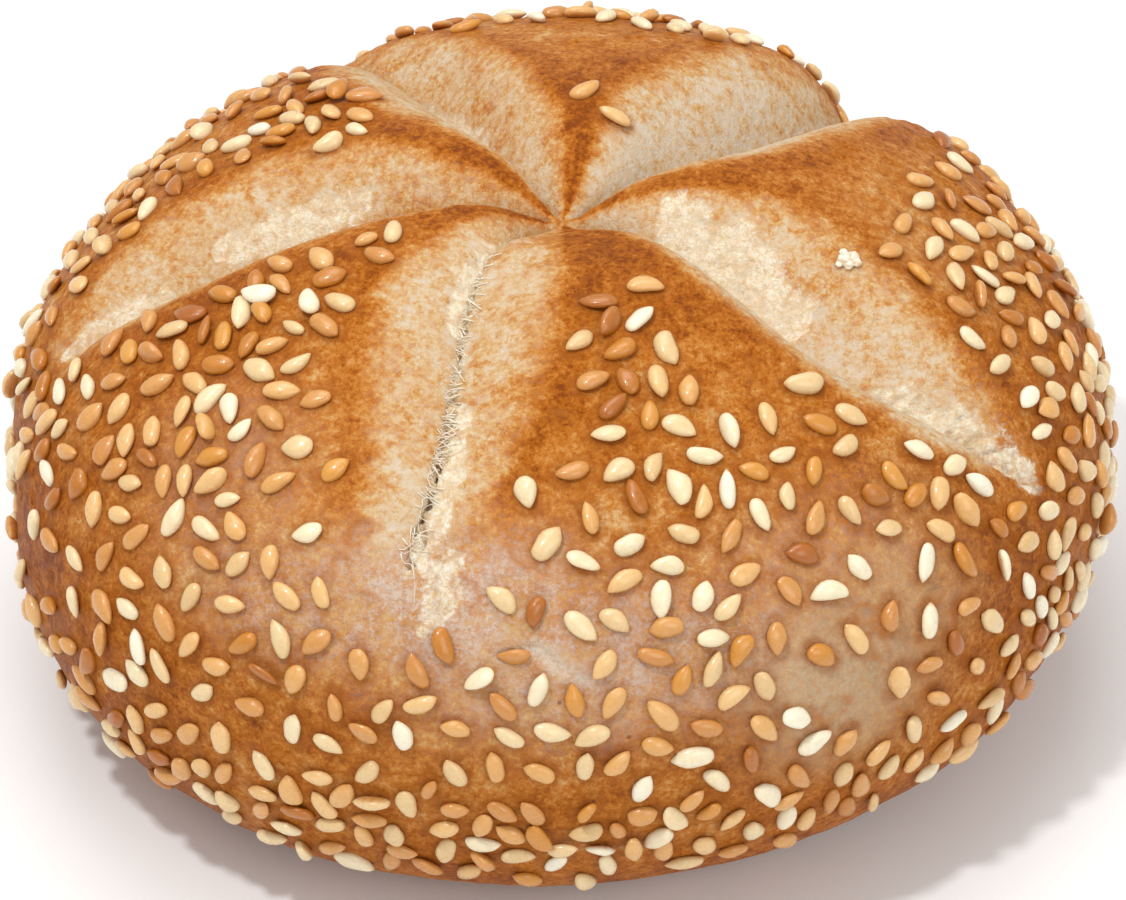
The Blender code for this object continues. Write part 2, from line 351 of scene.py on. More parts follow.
def crust_points(bearing, fall):
    radius, height = loaf_profile(bearing, fall)
    ahead = loaf_profile(bearing, np.minimum(180, fall + SLOPE_STEP))
    behind = loaf_profile(bearing, np.maximum(0, fall - SLOPE_STEP))
    run, drop = ahead[0] - behind[0], ahead[1] - behind[1]
    size = np.hypot(run, drop) + 1e-12
    depth = sink_depth(bearing, fall)
    radius = radius + drop / size * depth
    height = height - run / size * depth
    turn = np.radians(bearing)
    return np.stack([radius * np.cos(turn), radius * np.sin(turn), height], -1)


def noise_field(points, scale, seed, octaves=1):
    """Smooth noise about -1 to 1 at each point; scale is the size of one feature in mm."""
    shift = Vector((seed * 13.7, seed * 7.3, seed * 3.1))
    flat = points.reshape(-1, 3) / scale
    if octaves == 1:
        values = [noise.noise(Vector(p) + shift) for p in flat]
    else:
        values = [noise.fractal(Vector(p) + shift, 1.0, 2.0, octaves) for p in flat]
    return np.array(values).reshape(points.shape[:-1])


def grid_normals(points):
    """Outward normals of a grid of rings (rows) and columns that close on themselves."""
    across = np.roll(points, -1, 1) - np.roll(points, 1, 1)
    down = np.gradient(points, axis=0)
    normal = np.cross(down, across)
    return normal / (np.linalg.norm(normal, axis=-1, keepdims=True) + 1e-12)


def crust_grid():
    """Bearings and falls of the crust's grid. The columns follow the cuts, finer towards their floors."""
    top = FIRST_FALL + (90 - FIRST_FALL) * np.linspace(0, 1, TOP_RINGS)
    under = 90 + 90 * np.linspace(0, 1, UNDERSIDE_RINGS + 1)[1:]
    falls = np.concatenate([top, under])
    even = np.arange(COLUMNS_PER_LOBE) / COLUMNS_PER_LOBE
    eased = 0.5 - 0.5 * np.cos(np.pi * even)
    share = (even * EVEN_WEIGHT + eased * EASED_WEIGHT) / 2
    bearings = []
    for fall in falls:
        floors = [cut_bearing(cut, reach_at(fall)) for cut in CUTS]
        row = [start + (end - start) % 360 * share for start, end in zip(floors, floors[1:] + floors[:1])]
        bearings.append(np.concatenate(row))
    bearings = np.array(bearings)
    return bearings, np.repeat(falls[:, None], bearings.shape[1], 1)


def tear_mask(nearest, offset, reach, ragged):
    """How bare the crumb is, 0 to 1, and how rough, from the tears along the cuts."""
    bare = np.zeros_like(reach)
    rough = np.zeros_like(reach)
    for tear in TEARS:
        number = [cut.name for cut in CUTS].index(tear.cut)
        length = tear.stop - tear.start
        middle = (tear.start + tear.stop) / 2
        along = np.clip(1 - ((reach - middle) / (length / 2)) ** 2, 0, 1) ** TEAR_END_ROUNDNESS
        width = tear.width * along * (1 + TEAR_RAGGEDNESS * ragged)
        inside = 1 - soft_step(*TEAR_EDGE, np.abs(offset - tear.side) / np.maximum(width, 1e-3))
        inside = np.where((nearest == number) & (along > 0), inside, 0)
        bare = np.maximum(bare, inside)
        rough = np.maximum(rough, inside * tear.rough)
    return bare, rough


def floor_fill(nearest, offset, reach):
    """How high the crumb rounds the floor of a cut, in mm."""
    ends = CUT_ENDS[nearest]
    fill = FLOOR_FILL[nearest] * np.exp(-((offset / FLOOR_FILL_WIDTH[nearest]) ** 2))
    return fill * soft_step(3, 10, reach) * (1 - soft_step(0.85, 1.0, reach / ends))


def split_marks(points):
    """How deep the splits in the skin are at each point in mm, and how much of their pale inside shows."""
    depth, pale = np.zeros(points.shape[:-1]), np.zeros(points.shape[:-1])
    for split in SPLITS:
        start = crust_points(np.array(split.bearing), np.array(split.fall))
        way = crust_points(np.array(split.to_bearing), np.array(split.to_fall)) - start
        along = np.clip((points - start) @ way / (way @ way), 0, 1)
        away = np.linalg.norm(points - start - along[..., None] * way, axis=-1) / split.width
        depth = np.maximum(depth, split.depth * np.exp(-(away**2)))
        pale = np.maximum(pale, 2 * split.depth * np.exp(-((away / 1.6) ** 2)))
        depth = depth - SPLIT_LIP * split.depth * np.exp(-((away - 1.9) ** 2))
    return depth, np.clip(pale, 0, 1)


def patch_weight(patches, bearing, fall):
    """The share of the strongest patch at each place, fading out past its spreads."""
    best = np.zeros_like(np.asarray(fall, float))
    for patch in patches:
        across = turn_between(bearing, patch.bearing) / patch.bearing_spread
        down = (fall - patch.fall) / patch.fall_spread
        off = across**2 + down**2
        best = np.maximum(best, patch.share * np.exp(-0.5 * off**1.5))
    return best


def shape_crust():
    """The crust's points in mm and everything its material needs to know at each one."""
    bearings, falls = crust_grid()
    reach = reach_at(falls)
    points = crust_points(bearings, falls)
    normals = grid_normals(points)
    nearest, offset, wall_width = cut_place(bearings, reach)
    up_wall = np.clip(np.abs(offset) / wall_width, 0, 1)
    ends = CUT_ENDS[nearest]
    in_cut = (falls < 90) & (reach < ends)
    ragged = noise_field(points, 2.2, 1, 3)
    wander = noise_field(points, 6.0, 2)
    bare, rough = tear_mask(nearest, offset, reach, ragged)
    bare = np.where(falls < 90, bare, 0)
    rim_of_wall = up_wall + 0.12 * wander + 0.08 * ragged
    wall = np.where(in_cut, 1 - soft_step(0.35, 1.02, rim_of_wall), 0)
    wall *= 1 - soft_step(0.88, 1.02, reach / ends + 0.05 * wander)
    broad = noise_field(points, 16.0, 3)
    middling = noise_field(points, 5.0, 4, 2)
    fine = noise_field(points, 0.9, 5, 2)
    pores = noise_field(points, 0.85, 6)
    above_foot = soft_step(0.0, FOOT_STAYS_FLAT_TO, points[..., 2])
    clear_of_crown = soft_step(1.0, 8.0, reach)
    fill = np.where(in_cut, floor_fill(nearest, offset, reach), 0)
    skin = BROAD_LIFT * broad + BUMP_LIFT * middling * (1 - 0.6 * wall)
    lift = skin + fill
    flakes = 1 - 2 * np.abs(fine)
    in_pore = soft_step(0.05, 0.35, pores)
    lift = lift + rough * (RAGGED_LIFT * ragged + FLAKE_LIFT * flakes) - PORE_DEPTH * rough**2 * in_pore
    blisters = soft_step(0.25, 0.75, noise_field(points, 2.6, 8))
    lift = lift + GRAIN_LIFT * fine * (1 - rough) + BLISTER_HEIGHT * blisters * (1 - wall)
    lift = (lift - TEAR_DEPTH * rough * bare) * above_foot * clear_of_crown
    points = points + normals * lift[..., None]
    split_depth, split = split_marks(points)
    points = points - normals * split_depth[..., None]
    facts = {
        "bearing": bearings,
        "fall": falls,
        "reach": reach,
        "nearest": nearest,
        "offset": offset,
        "past_edge": np.abs(offset) - wall_width,
        "up_wall": up_wall,
        "wall": wall,
        "wall_paleness_and_shade": wall * WALL_PALENESS_AND_SHADE[nearest],
        "skin": skin * above_foot * clear_of_crown,
        "bare": bare,
        "pores": np.clip(2.2 * rough - 0.45, 0, 1) * in_pore,
        "split": split,
    }
    return points, facts


def mesh_object(name, verts, faces, material):
    mesh = bpy.data.meshes.new(name)
    mesh.from_pydata(verts.tolist(), [], faces)
    mesh.materials.append(material)
    mesh.shade_smooth()
    made = bpy.data.objects.new(name, mesh)
    bpy.context.scene.collection.objects.link(made)
    return made


def store(mesh, name, values):
    attribute = mesh.attributes.new(name, "FLOAT", "POINT")
    attribute.data.foreach_set("value", np.asarray(values, np.float32))


def ring_faces(rings, columns, first=0):
    """Quads between neighbouring rings of vertices numbered ring by ring."""
    ring, column = np.meshgrid(np.arange(rings - 1), np.arange(columns), indexing="ij")
    after = (column + 1) % columns
    quads = np.stack([ring * columns + column, (ring + 1) * columns + column,
                      (ring + 1) * columns + after, ring * columns + after], -1)
    return (quads.reshape(-1, 4) + first).tolist()


def fan_faces(ring_start, columns, tip, facing_up):
    around = [(ring_start + i, ring_start + (i + 1) % columns) for i in range(columns)]
    return [(tip, a, b) if facing_up else (tip, b, a) for a, b in around]


def vertex_facts(points, facts, seeds):
    """Toasting, flour, dullness and closeness to a seed at every grid point of the crust, each 0 to 1."""
    bearing, fall, reach = facts["bearing"], facts["fall"], facts["reach"]
    on_ridge = soft_step(0.62, 1.0, facts["up_wall"]) * (fall < 90)
    near_crown = np.exp(-((reach / 21) ** 2))
    # The left flank, the right flank and the back are browner, and so is everything low down
    flanks = np.exp(-0.5 * (turn_between(bearing, 197) / 22) ** 2) * soft_step(62, 84, fall)
    flanks += 0.9 * np.exp(-0.5 * (turn_between(bearing, 350) / 30) ** 2) * soft_step(45, 75, fall)
    low = soft_step(92, 125, fall)
    back = 0.35 * np.exp(-0.5 * (turn_between(bearing, 80) / 60) ** 2) * soft_step(20, 60, fall)
    side = (facts["offset"] > 0).astype(int)
    strength = np.array([EDGE_TOAST[cut.name] for cut in CUTS])[facts["nearest"], side]
    ends = CUT_ENDS[facts["nearest"]]
    edge = strength * np.exp(-((facts["past_edge"] / 2.0) ** 2)) * (1 - soft_step(0.8, 1.0, reach / ends))
    edge = edge * (fall < 90)
    toast = on_ridge * near_crown * 1.15 + 0.75 * flanks + 0.7 * low + back + edge
    for patch in TONE_PATCHES:
        weight = patch_weight((patch._replace(share=1),), bearing, fall)
        toast = toast + patch.share * weight * (1 - facts["wall"])
    flour = patch_weight(FLOUR_PATCHES, bearing, fall)
    dull = patch_weight(DULL_PATCHES, bearing, fall)
    return dict(toast=np.clip(toast, -0.5, 1), flour=flour, dull=dull, seed=seed_closeness(points, seeds))


def seed_closeness(points, seeds):
    """1 where a seed touches the crust, falling to 0 about a millimetre away."""
    tree = KDTree(len(seeds) * 3)
    for i, seed in enumerate(seeds):
        for j, along in enumerate((-0.32, 0, 0.32)):
            tree.insert(seed.place + seed.along * along * SEED_LENGTH, i * 3 + j)
    tree.balance()
    distance = np.array([tree.find(p)[2] for p in points.reshape(-1, 3).tolist()])
    return 1 - soft_step(0.75, 1.75, distance).reshape(points.shape[:-1])


def node_axis(node):
    """Middle and long axis of one of the part's seeds, in mm, from its own vertices."""
    mesh = frame["nodes"][node].data
    points = np.array([v.co[:] for v in mesh.vertices]) / MM
    middle = points.mean(0)
    axes = np.linalg.svd(points - middle)[2]
    lengthwise = (points - middle) @ axes[0]
    blunt = -1 if abs(lengthwise.min()) > lengthwise.max() else 1
    return middle, axes[0] * blunt


def place_scars(points, facts, normals, seeds):
    """Where seeds have dropped off: places between the seeds, each with a heading."""
    chance = np.random.default_rng(SEED + 9)
    flat, up = points.reshape(-1, 3), normals.reshape(-1, 3)
    free = (facts["wall"] < 0.35) & (facts["fall"] > 28) & (facts["fall"] < 105) & (facts["past_edge"] > -2)
    picks = chance.choice(np.flatnonzero(free.reshape(-1)), SCAR_CANDIDATES)
    scars, taken = [], np.array([seed.place for seed in seeds])
    for at in picks:
        if len(scars) < SCARS and ((taken - flat[at]) ** 2).sum(1).min() > SCAR_CLEARANCE**2:
            along = np.cross(up[at], chance.normal(size=3))
            scars.append((flat[at], along / np.linalg.norm(along)))
            taken = np.vstack([taken, flat[at]])
    return scars


def scar_shape(points, scars):
    """How far inside each scar's oval a point is: 1 in the dent, and the ring of torn skin round it."""
    dent, ring = np.zeros(points.shape[:-1]), np.zeros(points.shape[:-1])
    for place, along in scars:
        away = points - place
        lengthwise = (away @ along) / (SEED_LENGTH * 0.5)
        sideways = np.sqrt(np.maximum(0, (away**2).sum(-1) - (away @ along) ** 2)) / (SEED_WIDTH * 0.5)
        oval = np.hypot(lengthwise, sideways)
        dent = np.maximum(dent, 1 - soft_step(0.6, 1.0, oval))
        ring = np.maximum(ring, np.exp(-(((oval - 1.0) / 0.28) ** 2)))
    return dent, ring


def place_seeds(points, normals, facts, offset, slots):
    """Every seed: first the part's own, where it has them, then a scatter that keeps clear of them."""
    chance = np.random.default_rng(SEED)
    flat, up = points.reshape(-1, 3), normals.reshape(-1, 3)
    seeds = []
    ends = np.zeros((0, 3))
    for node in sorted(n for n in slots if n != "roll"):
        middle, along = node_axis(node)
        at = ((flat - (middle - offset)) ** 2).sum(1).argmin()
        along = along - up[at] * (along @ up[at])
        along /= np.linalg.norm(along)
        seeds.append(Seed(flat[at], along, up[at], PART_SEED_SCALE, slots[node], chance.random(), 0.0))
        ends = np.vstack([ends, flat[at] + along * SEED_CORE, flat[at] - along * SEED_CORE])
    share = patch_weight(SEED_PATCHES, facts["bearing"], facts["fall"])
    share *= 1 - patch_weight(BARE_PATCHES, facts["bearing"], facts["fall"])
    share *= (1 - soft_step(*SEEDS_END, facts["fall"])) * soft_step(*SEEDS_START, facts["fall"])
    free = np.where(facts["fall"] < 90, facts["up_wall"] > 0.95, True) | (facts["reach"] > 47)
    share = (share * free * (facts["wall"] < 0.15)).reshape(-1)
    down = np.gradient(points, axis=0)
    across = (np.roll(points, -1, 1) - np.roll(points, 1, 1)) / 2
    area = np.linalg.norm(np.cross(down, across), axis=-1).reshape(-1)
    weight = area * (share > 0.05)
    picks = chance.choice(len(flat), SEED_CANDIDATES, p=weight / weight.sum())
    names = ["sesame_cream", "sesame_golden", "sesame_toasted"]
    for at in picks:
        if chance.random() > share[at] * 3:
            continue
        spacing = WIDEST_SPACING - CLOSER_WHERE_DENSE * share[at]
        near = np.array([seed.place for seed in seeds])
        if ((near - flat[at]) ** 2).sum(1).min() < spacing**2:
            continue
        best, best_gap = None, -1
        side = np.cross(up[at], [0.31, 0.52, 0.79])
        side /= np.linalg.norm(side)
        for turn in chance.uniform(0, 2 * np.pi, SEED_HEADINGS_TRIED):
            along = side * np.cos(turn) + np.cross(up[at], side) * np.sin(turn)
            cores = [flat[at] + along * core for core in (-SEED_CORE, 0, SEED_CORE)]
            gap = min(np.linalg.norm(ends - core, axis=1).min() for core in cores)
            if gap > best_gap:
                best, best_gap = along, gap
        stacked = 0.0
        if best_gap < SEED_GAP:
            if chance.random() > STACKED_SHARE:
                continue
            stacked = STACKED_HEIGHT
        brown = 0.10 + 0.28 * (share[at] > 0.75) + 0.06 * (facts["fall"].reshape(-1)[at] < 60)
        odds = np.array([0.50 - brown * 0.8, 0.50 - brown * 0.4, brown * 1.2])
        slot = names[chance.choice(3, p=odds / odds.sum())]
        scale = chance.normal(1.0, SEED_SCALE_SPREAD)
        seeds.append(Seed(flat[at], best, up[at], scale, slot, chance.random(), stacked))
        ends = np.vstack([ends, flat[at] + best * SEED_CORE, flat[at] - best * SEED_CORE])
    return seeds


def seed_template():
    """One seed of unit length, width and height: a drop, round at one end and pointed at the other."""
    along = 0.5 - 0.5 * np.cos(np.pi * np.linspace(0, 1, SEED_STATIONS + 2)[1:-1])
    oval = 4 * along * (1 - along)
    width = oval ** (0.46 + 0.30 * along) * (1.13 - 0.28 * along)
    turn = 2 * np.pi * (np.arange(SEED_SIDES) + 0.5) / SEED_SIDES
    y = width[:, None] * np.cos(turn)[None] / 2
    z = (oval ** (0.44 + 0.22 * along) * (1.06 - 0.14 * along))[:, None] * np.sin(turn)[None] / 2
    z = np.where(z > 0, z * 1.15, z * 0.85)
    x = np.repeat((along - 0.5)[:, None], SEED_SIDES, 1)
    rings = np.stack([x, y, z], -1).reshape(-1, 3)
    verts = np.vstack([rings, [[-0.5, 0, 0], [0.5, 0, 0]]])
    last = SEED_SIDES * (SEED_STATIONS - 1)
    faces = [f[::-1] for f in ring_faces(SEED_STATIONS, SEED_SIDES)]
    faces += fan_faces(0, SEED_SIDES, len(rings), False)
    faces += fan_faces(last, SEED_SIDES, len(rings) + 1, True)
    return verts, faces


def seed_verts(template, seed, chance):
    """The template's points laid on the crust: sized, bent, rolled a little and pressed in."""
    local = template * [SEED_LENGTH, SEED_WIDTH, SEED_THICKNESS] * seed.scale
    local = local * [chance.normal(1, spread) for spread in SEED_SHAPE_SPREAD]
    local[:, 1] += chance.normal(0, SEED_BEND) * (local[:, 0] ** 2 - 1)
    turns = chance.uniform(0, 2 * np.pi, 3)
    uneven = np.sin(2.3 * local[:, 0] + turns[0]) + np.sin(3.7 * local[:, 1] + 1.9 * local[:, 0] + turns[1])
    local[:, 1:] *= (1 + 0.045 * uneven)[:, None]
    local[:, 2] -= 0.07 * np.maximum(0, local[:, 2]) * np.cos(3.1 * local[:, 1] + 0.5 * np.sin(turns[2]))
    local[:, 2] *= 1 + 0.10 * chance.normal() * local[:, 0] / SEED_LENGTH
    lean = chance.normal(0, SEED_LEAN)
    if chance.random() < TIPPED_SHARE:
        lean += chance.choice([-TIPPED_LEAN, TIPPED_LEAN])
    pitch = chance.normal(0, SEED_PITCH) + STACKED_PITCH * seed.stacked
    side = np.cross(seed.up, seed.along)
    up = seed.up * np.cos(lean) + side * np.sin(lean)
    side = np.cross(up, seed.along)
    along = seed.along * np.cos(pitch) + up * np.sin(pitch)
    up = np.cross(along, side)
    lifted = SEED_THICKNESS / 2 - SEED_PRESSED_IN + seed.stacked + 0.35 * abs(np.sin(lean))
    place = seed.place + seed.up * lifted
    return place + local[:, :1] * along + local[:, 1:2] * side + local[:, 2:] * up


def build_seeds(seeds, slot, material, name):
    """All the seeds of one colour as one piece, with each seed's own tint and how high each point sits."""
    chance = np.random.default_rng(SEED + len(name))
    template, faces = seed_template()
    verts, all_faces, tints, heights, alongs = [], [], [], [], []
    for seed in seeds:
        if seed.slot != slot:
            continue
        first = len(verts) * len(template)
        verts.append(seed_verts(template, seed, chance))
        all_faces += [tuple(i + first for i in f) for f in faces]
        tints.append(np.full(len(template), seed.tint))
        # How high each point sits on its seed, which sets the painted shade low down
        heights.append(template[:, 2] + 0.5 + 0.4 * (seed.stacked > 0))
        alongs.append(template[:, 0] + 0.5)
    made = mesh_object(name, np.concatenate(verts), all_faces, material)
    store(made.data, "tint", np.concatenate(tints))
    store(made.data, "height", np.concatenate(heights))
    store(made.data, "along", np.concatenate(alongs))
    return made


# Materials: a small kit for wiring nodes, then one function for each material


def add_node(tree, kind, settings=None, inputs=None):
    made = tree.nodes.new(kind)
    for key, value in (settings or {}).items():
        setattr(made, key, value)
    for key, value in (inputs or {}).items():
        if isinstance(value, bpy.types.NodeSocket):
            tree.links.new(value, made.inputs[key])
        else:
            made.inputs[key].default_value = value
    return made


def mix(tree, factor, a, b, blend="MIX"):
    settings = {"data_type": "RGBA", "blend_type": blend}
    return add_node(tree, "ShaderNodeMix", settings, {0: factor, 6: a, 7: b}).outputs[2]


def calculate(tree, operation, a, b=0.0, clamp=False):
    settings = {"operation": operation, "use_clamp": clamp}
    return add_node(tree, "ShaderNodeMath", settings, {0: a, 1: b}).outputs[0]


def attribute(tree, name):
    return add_node(tree, "ShaderNodeAttribute", {"attribute_name": name}).outputs["Fac"]


def noise_texture(tree, size_mm, detail=4.0, roughness=0.55, stretch=(1, 1, 1), distortion=0.0):
    """Noise whose features are size_mm across, in the object's own coordinates."""
    place = add_node(tree, "ShaderNodeTexCoord").outputs["Object"]
    if stretch != (1, 1, 1):
        place = add_node(tree, "ShaderNodeMapping", None, {"Vector": place, "Scale": stretch}).outputs[0]
    inputs = {"Vector": place, "Scale": 1 / (size_mm * MM), "Detail": detail, "Roughness": roughness}
    inputs["Distortion"] = distortion
    return add_node(tree, "ShaderNodeTexNoise", None, inputs).outputs["Fac"]


def add_up(tree, terms, start):
    """start plus each socket times its weight."""
    total = start
    for socket, weight in terms:
        inputs = {0: socket, 1: weight, 2: total}
        total = add_node(tree, "ShaderNodeMath", {"operation": "MULTIPLY_ADD"}, inputs).outputs[0]
    return total


def step(tree, value, low, high, out_low=0.0, out_high=1.0):
    inputs = {0: value, 1: low, 2: high, 3: out_low, 4: out_high}
    return add_node(tree, "ShaderNodeMapRange", {"interpolation_type": "SMOOTHSTEP"}, inputs).outputs[0]


def ramp(tree, factor, stops):
    made = add_node(tree, "ShaderNodeValToRGB", None, {0: factor})
    elements = made.color_ramp.elements
    while len(elements) < len(stops):
        elements.new(0.5)
    for element, (position, colour) in zip(elements, stops):
        element.position = position
        element.color = (*colour, 1)
    return made.outputs[0]


def new_material(name, values):
    """A material with these values on its shader's own sockets."""
    made = bpy.data.materials.new(name)
    made.use_nodes = True
    shader = made.node_tree.nodes["Principled BSDF"]
    for key, value in values.items():
        shader.inputs[key].default_value = value
    return made, made.node_tree, shader


CRUST_SHADER = {
    "IOR": 1.42, "Specular IOR Level": 0.20, "Subsurface Weight": 0.16,
    "Subsurface Radius": (1.0, 0.5, 0.22), "Subsurface Scale": 0.0015,
}
SEED_SHADER = {
    "IOR": 1.45, "Specular IOR Level": 0.55, "Coat Weight": 0.4, "Coat Roughness": 0.12,
    "Subsurface Weight": 0.3, "Subsurface Radius": (1.0, 0.65, 0.3), "Subsurface Scale": 0.0008,
}
CRUMB_SHADER = {
    "Specular IOR Level": 0.3, "Subsurface Weight": 0.25,
    "Subsurface Radius": (1.0, 0.8, 0.6), "Subsurface Scale": 0.0005,
}
FLOOR_SHADER = {"Roughness": 0.9}


# Crust colour by how far it has baked: from pale stretched skin, through gold, to dark brown
BAKED_COLOURS = (
    (0.00, (0.73, 0.61, 0.48)), (0.18, (0.72, 0.52, 0.295)), (0.35, (0.68, 0.375, 0.13)),
    (0.54, (0.60, 0.225, 0.034)), (0.76, (0.46, 0.125, 0.004)), (1.00, (0.24, 0.050, 0.002)),
)


# The torn crumb, and the tints laid over the crust
CRUMB_COLOURS = ((0.36, (0.78, 0.57, 0.32)), (0.48, (0.90, 0.77, 0.55)), (0.62, (0.95, 0.90, 0.78)))
# Painted shade in the pores of the torn crumb
PORE_SHADE = (0.48, 0.30, 0.15, 1)
FROST = (0.77, 0.66, 0.52, 1)
FLOUR_FILM = (0.70, 0.56, 0.46, 1)
DRY_SKIN = (0.64, 0.51, 0.33, 1)
# Painted contact shade round each seed, together with the crust's browner rim
SEED_RIM_AND_SHADE = (0.40, 0.115, 0.012, 1)
SPLIT_INSIDE = (0.80, 0.68, 0.54, 1)
DROPPED_SEED = (0.52, 0.17, 0.02, 1)
CHARRED = (0.14, 0.045, 0.012, 1)


def crust_material():
    """Baked crust on the lobes, pale stretched skin on the walls of the cuts, white crumb where they tore."""
    made, tree, shader = new_material("bread_crust", CRUST_SHADER)
    broad = noise_texture(tree, 11, 3)
    middling = noise_texture(tree, 3.2, 5, 0.6, distortion=0.4)
    fine = noise_texture(tree, 0.8, 6, 0.68)
    flecks = noise_texture(tree, 0.42, 6, 0.75, distortion=0.3)
    grain = noise_texture(tree, 0.22, 3, 0.65)
    streaks = noise_texture(tree, 1.6, 6, 0.72, (1, 1, 0.45), 0.8)
    wall, bare, toast = attribute(tree, "wall"), attribute(tree, "bare"), attribute(tree, "toast")
    flour, seed, pores = attribute(tree, "flour"), attribute(tree, "seed"), attribute(tree, "pores")
    dull, scar = attribute(tree, "dull"), attribute(tree, "scar")

    # How far each place has baked
    crisp = step(tree, flecks, 0.47, 0.56, -0.5, 0.5)
    crisp_broad = step(tree, fine, 0.46, 0.58, -0.5, 0.5)
    mottle = calculate(tree, "MULTIPLY", add_up(tree, ((crisp, 0.6), (crisp_broad, 0.4)), 0.0), wall)
    drift = add_up(tree, ((broad, 0.25), (middling, 0.45), (fine, 0.55), (flecks, 0.55)), -0.90)
    baked = add_up(tree, ((wall, -0.36), (toast, 0.24), (flour, -0.10), (drift, 1.7), (crisp, 0.05)), 0.61)
    baked = add_up(tree, ((mottle, 0.15),), baked)
    colour = ramp(tree, baked, BAKED_COLOURS)

    # White flecks, a film of flour and dry skin
    frosty = step(tree, add_up(tree, ((flecks, 0.75), (streaks, 0.45)), 0.0), 0.585, 0.70)
    frosted = add_up(tree, ((wall, 0.62), (flour, 0.5), (toast, -0.3)), 0.04)
    frosty = calculate(tree, "MULTIPLY", frosty, frosted, True)
    colour = mix(tree, frosty, colour, FROST)
    film = step(tree, add_up(tree, ((middling, 0.5), (flecks, 0.7)), 0.0), 0.45, 0.75)
    colour = mix(tree, calculate(tree, "MULTIPLY", flour, film), colour, FLOUR_FILM)
    dry = calculate(tree, "MULTIPLY", dull, step(tree, flecks, 0.35, 0.65, 0.45, 0.85))
    colour = mix(tree, dry, colour, DRY_SKIN)

    # Torn crumb, with a ragged edge and painted shade in its pores
    edge_noise = calculate(tree, "SUBTRACT", fine, 0.5)
    crumb = ramp(tree, flecks, CRUMB_COLOURS)
    crumb = mix(tree, calculate(tree, "MULTIPLY", pores, 0.75), crumb, PORE_SHADE)
    ragged_bare = add_up(tree, ((edge_noise, 1.1), (crisp, 0.25)), bare)
    bare_edge = calculate(tree, "MULTIPLY", step(tree, ragged_bare, 0.20, 0.95), step(tree, bare, 0.0, 0.3))
    bare_edge = calculate(tree, "MULTIPLY", bare_edge, step(tree, streaks, 0.40, 0.58, 0.40, 0.95))
    colour = mix(tree, bare_edge, colour, crumb)

    # Painted contact shade round the seeds, with the crust's own browner rim there; splits, marks of dropped
    # seeds and charred specks
    rim_and_shade = calculate(tree, "MULTIPLY", seed, step(tree, fine, 0.25, 0.6, 0.35, 0.85))
    rim_and_shade = calculate(tree, "MULTIPLY", rim_and_shade, add_up(tree, ((flour, -0.7),), 0.85))
    colour = mix(tree, rim_and_shade, colour, SEED_RIM_AND_SHADE)
    inside = calculate(tree, "MULTIPLY", attribute(tree, "split"), step(tree, flecks, 0.35, 0.6, 0.4, 0.9))
    colour = mix(tree, inside, colour, SPLIT_INSIDE)
    torn = calculate(tree, "MULTIPLY", scar, step(tree, middling, 0.42, 0.60, 0.05, 0.65))
    colour = mix(tree, torn, colour, DROPPED_SEED)
    coords = add_node(tree, "ShaderNodeTexCoord").outputs["Object"]
    cells = add_node(tree, "ShaderNodeTexVoronoi", None, {"Vector": coords, "Scale": 320.0})
    speck = step(tree, cells.outputs["Distance"], 0.10, 0.05)
    cell_pick = add_node(tree, "ShaderNodeSeparateColor", None, {0: cells.outputs["Color"]}).outputs[0]
    rare = step(tree, cell_pick, 0.80, 0.84)
    char = calculate(tree, "MULTIPLY", speck, calculate(tree, "MULTIPLY", rare, 0.6))
    colour = mix(tree, char, colour, CHARRED)
    tree.links.new(colour, shader.inputs["Base Color"])

    # Gloss and fine relief
    matt = calculate(tree, "MAXIMUM", add_up(tree, ((wall, 0.6), (flour, 0.6)), 0.0), bare_edge)
    rough = add_up(tree, ((matt, 0.32), (fine, 0.35)), 0.30)
    tree.links.new(rough, shader.inputs["Roughness"])
    height = add_up(tree, ((middling, 0.7), (fine, 0.7), (flecks, 0.5), (grain, 0.25)), 0.0)
    bump = add_node(tree, "ShaderNodeBump", None, {"Strength": 0.9, "Distance": 0.00055, "Height": height})
    tree.links.new(bump.outputs[0], shader.inputs["Normal"])
    return made


def seed_material(name, stops, edge, roughness):
    """A sesame seed: its own tint within its colour's range, with painted shade low down on its sides, and
    toasted at the tip.
    """
    made, tree, shader = new_material(name, SEED_SHADER)
    tint, height, along = attribute(tree, "tint"), attribute(tree, "height"), attribute(tree, "along")
    mottle = noise_texture(tree, 0.7, 4, 0.6)
    fine = noise_texture(tree, 0.16, 3, 0.6)
    shade = calculate(tree, "MULTIPLY_ADD", calculate(tree, "SUBTRACT", mottle, 0.5), 0.35)
    tree.links.new(tint, shade.node.inputs[2])
    body = ramp(tree, shade, stops)
    # Painted shade on the lower sides of each seed, and real toasting at its tip
    low = step(tree, calculate(tree, "ADD", height, calculate(tree, "MULTIPLY", mottle, 0.25)), 0.50, 0.22)
    tip = step(tree, along, 0.86, 1.0, 0.0, 0.55)
    shade_and_toast = calculate(tree, "MULTIPLY", calculate(tree, "MAXIMUM", low, tip), 0.8)
    tree.links.new(mix(tree, shade_and_toast, body, (*edge, 1)), shader.inputs["Base Color"])
    tree.links.new(step(tree, mottle, 0.3, 0.7, roughness - 0.06, roughness + 0.08), shader.inputs["Roughness"])
    bump = add_node(tree, "ShaderNodeBump", None, {"Strength": 0.35, "Distance": 0.00008, "Height": fine})
    tree.links.new(bump.outputs[0], shader.inputs["Normal"])
    return made


CREAM = (
    (0.0, (0.68, 0.45, 0.20)), (0.4, (0.76, 0.58, 0.32)), (0.75, (0.81, 0.69, 0.46)), (1.0, (0.85, 0.79, 0.62)),
)
GOLDEN = ((0.0, (0.56, 0.24, 0.055)), (0.5, (0.68, 0.36, 0.11)), (1.0, (0.76, 0.50, 0.22)))
TOASTED = ((0.0, (0.38, 0.11, 0.008)), (0.5, (0.54, 0.21, 0.02)), (1.0, (0.66, 0.31, 0.055)))
